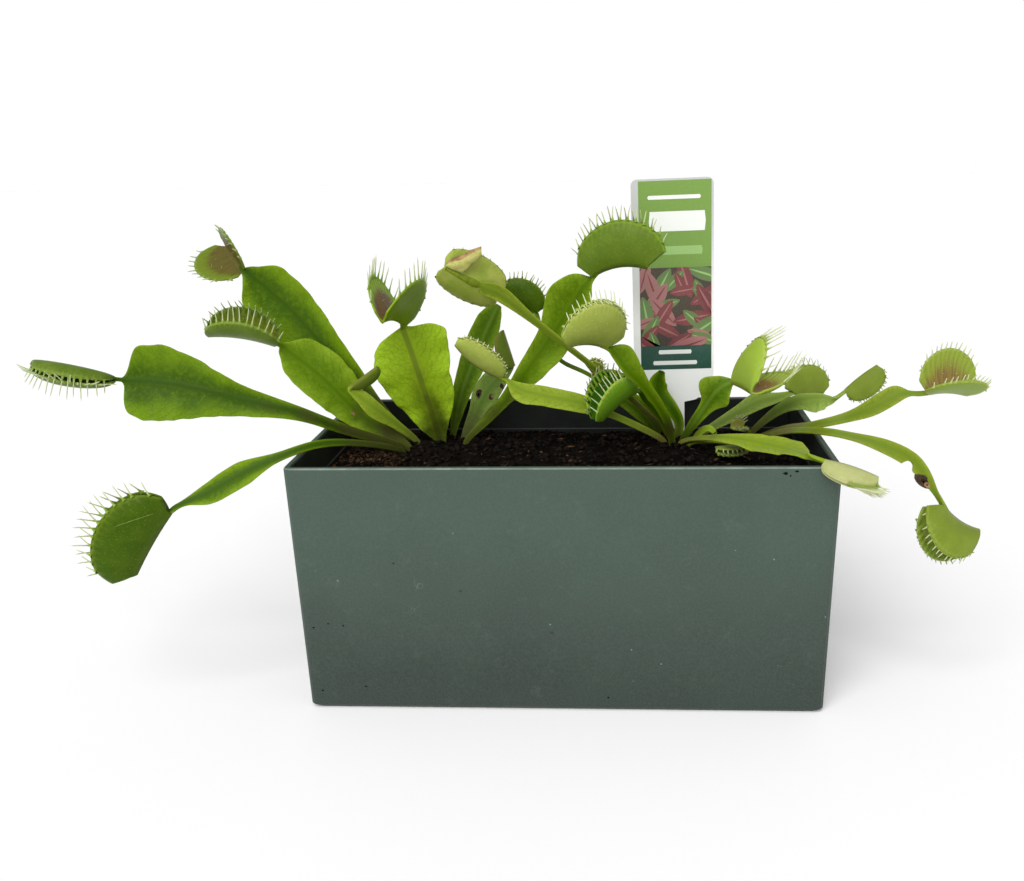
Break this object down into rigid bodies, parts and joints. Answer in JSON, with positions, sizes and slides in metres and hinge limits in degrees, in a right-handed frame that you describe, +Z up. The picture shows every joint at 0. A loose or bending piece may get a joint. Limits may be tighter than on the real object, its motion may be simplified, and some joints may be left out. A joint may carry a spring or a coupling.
{
  "type": "potted venus flytrap",
  "caption": "Venus flytrap plants with open and closed toothed traps, growing in a grey-green trough planter with a plant label.",
  "frame": {"origin": "centre of the trough's base, on the surface it stands on", "axes": "+Z up, front of the trough towards -Y, the leaf that reaches farthest towards -X"},
  "size_m": [0.3654, 0.1187, 0.1941],
  "materials": {
    "trough_plastic": "matte",
    "peat": "matte",
    "label_plastic": "satin",
    "leaf_fresh": "satin",
    "leaf_deep": "satin",
    "leaf_dull": "satin"
  },
  "bodies": {
    "root": {"trough": "trough_plastic", "soil": "peat", "label": "label_plastic", "leaf_left_1": "leaf_fresh", "leaf_left_2": "leaf_fresh", "leaf_left_3": "leaf_fresh", "leaf_left_4": "leaf_fresh", "leaf_left_5": "leaf_fresh", "leaf_left_6": "leaf_fresh", "leaf_left_7": "leaf_deep", "leaf_left_8": "leaf_dull", "leaf_left_9": "leaf_deep", "leaf_middle_1": "leaf_fresh", "leaf_middle_2": "leaf_fresh", "leaf_middle_3": "leaf_deep", "leaf_middle_4": "leaf_fresh", "leaf_middle_5": "leaf_fresh", "leaf_middle_6": "leaf_deep", "leaf_middle_7": "leaf_fresh", "leaf_middle_8": "leaf_fresh", "leaf_middle_9": "leaf_fresh", "leaf_middle_10": "leaf_fresh", "leaf_middle_11": "leaf_dull", "leaf_middle_12": "leaf_deep", "leaf_right_1": "leaf_fresh", "leaf_right_2": "leaf_fresh", "leaf_right_3": "leaf_fresh", "leaf_right_4": "leaf_dull"}
  },
  "joints": []
}
